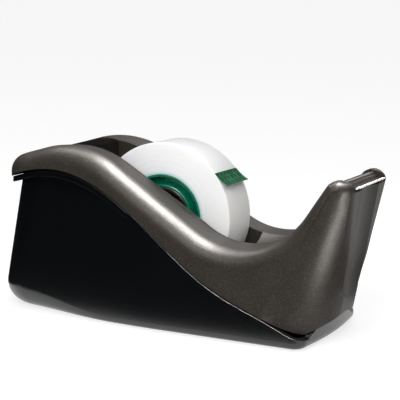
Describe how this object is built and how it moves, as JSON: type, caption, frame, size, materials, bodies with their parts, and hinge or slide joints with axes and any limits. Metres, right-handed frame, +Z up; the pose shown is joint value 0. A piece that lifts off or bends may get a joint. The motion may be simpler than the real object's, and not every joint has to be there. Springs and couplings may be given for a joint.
{
  "type": "desktop tape dispenser",
  "caption": "Weighted desktop tape dispenser with a moulded speckled shell, black base, serrated cutter and a roll of tape on a lift-out hub.",
  "frame": {"origin": "centre of the bounding box on the desk, under the feet", "axes": "+X along the dispenser towards the cutter, +Y to its left, +Z up"},
  "size_m": [0.1487, 0.06, 0.0685],
  "materials": {
    "speckled_shell": "fine metallic speckle, satin",
    "black_base": "satin black",
    "black_insert": "fine matte grain",
    "platen": "smooth satin",
    "ballast": "rough cast cement",
    "cutter_steel": "bright stamped steel",
    "axle_steel": "turned steel",
    "screw_steel": "zinc plated",
    "foot_rubber": "matte rubber",
    "hub_plastic": "moulded black",
    "core_green": "translucent moulded green",
    "tape_film": "frosted translucent film",
    "tab_green": "printed film"
  },
  "bodies": {
    "housing": {"top_shell": "speckled_shell", "well_liner": "black_insert", "base_shell": "black_base", "ballast_weight": "ballast", "tape_platen": "platen", "cutter_blade": "cutter_steel", "case_screw_front_left": "screw_steel", "case_screw_front_right": "screw_steel", "case_screw_rear_left": "screw_steel", "case_screw_rear_right": "screw_steel", "foot_front_left": "foot_rubber", "foot_front_right": "foot_rubber", "foot_rear_left": "foot_rubber", "foot_rear_right": "foot_rubber", "platen_screw_left": "screw_steel", "platen_screw_right": "screw_steel"},
    "axle": {"hub_axle": "axle_steel"},
    "hub": {"hub_half_left": "hub_plastic", "hub_half_right": "hub_plastic", "tape_core": "core_green", "tape_roll": "tape_film", "tape_tab": "tab_green"}
  },
  "joints": [
    {"name": "lift_out", "type": "slide", "parent": "housing", "child": "axle", "axis": [0, 0, 1], "range_m": [0, 0.06]},
    {"name": "roll_spin", "type": "hinge", "parent": "axle", "child": "hub", "pos_m": [-0.0069, 0, 0.04], "axis": [0, 1, 0], "continuous": true}
  ]
}
